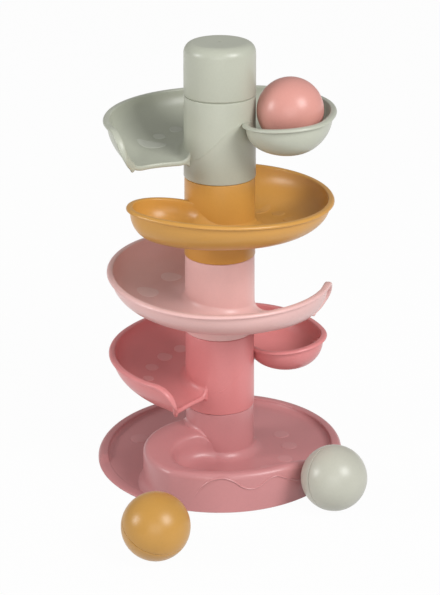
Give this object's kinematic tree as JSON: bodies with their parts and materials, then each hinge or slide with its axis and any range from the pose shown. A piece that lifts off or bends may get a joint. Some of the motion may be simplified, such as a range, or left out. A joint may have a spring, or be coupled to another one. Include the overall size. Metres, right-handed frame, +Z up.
{
  "type": "spiral ball tower",
  "caption": "Stacking tower whose column segments carry spiral troughs; balls roll from trough to trough down into a round tray.",
  "frame": {"origin": "on the column's axis, in the plane the tray stands on", "axes": "+Z up the column, -Y to the front of the picture, +X to its right"},
  "size_m": [0.229, 0.3116, 0.372],
  "materials": {
    "tray_mauve": "satin moulded plastic",
    "coral": "satin moulded plastic",
    "blush": "satin moulded plastic",
    "mustard": "satin moulded plastic",
    "sage": "satin moulded plastic",
    "ball_pink": "smooth, slightly shiny moulded plastic",
    "ball_mustard": "smooth, slightly shiny moulded plastic",
    "ball_sage": "smooth, slightly shiny moulded plastic"
  },
  "bodies": {
    "tray": {"base_tray": "tray_mauve"},
    "coral_segment": {"slide_coral": "coral"},
    "blush_segment": {"slide_blush": "blush"},
    "mustard_segment": {"slide_mustard": "mustard"},
    "sage_segment": {"slide_sage": "sage"},
    "cap": {"top_cap": "sage"},
    "pink_ball": {"pink_ball_shell_a": "ball_pink", "pink_ball_shell_b": "ball_pink"},
    "mustard_ball": {"mustard_ball_shell_a": "ball_mustard", "mustard_ball_shell_b": "ball_mustard"},
    "sage_ball": {"sage_ball_shell_a": "ball_sage", "sage_ball_shell_b": "ball_sage"}
  },
  "joints": [
    {"name": "coral_lift", "type": "slide", "parent": "tray", "child": "coral_segment", "axis": [0, 0, 1], "range_m": [0, 0.03]},
    {"name": "blush_lift", "type": "slide", "parent": "coral_segment", "child": "blush_segment", "axis": [0, 0, 1], "range_m": [0, 0.03]},
    {"name": "mustard_lift", "type": "slide", "parent": "blush_segment", "child": "mustard_segment", "axis": [0, 0, 1], "range_m": [0, 0.03]},
    {"name": "sage_lift", "type": "slide", "parent": "mustard_segment", "child": "sage_segment", "axis": [0, 0, 1], "range_m": [0, 0.03]},
    {"name": "cap_lift", "type": "slide", "parent": "sage_segment", "child": "cap", "axis": [0, 0, 1], "range_m": [0, 0.03]},
    {"name": "pink_ball_run", "type": "hinge", "parent": "sage_segment", "child": "pink_ball", "pos_m": [0, 0, 0.31278], "axis": [-0.0701, -0.0312, 0.9971], "range_deg": [0, 190]},
    {"name": "mustard_ball_roll", "type": "slide", "parent": "tray", "child": "mustard_ball", "axis": [-0.2732, -0.962, 0], "range_m": [0, 0.12]},
    {"name": "sage_ball_roll", "type": "slide", "parent": "tray", "child": "sage_ball", "axis": [0.7009, -0.7133, 0], "range_m": [0, 0.12]}
  ]
}
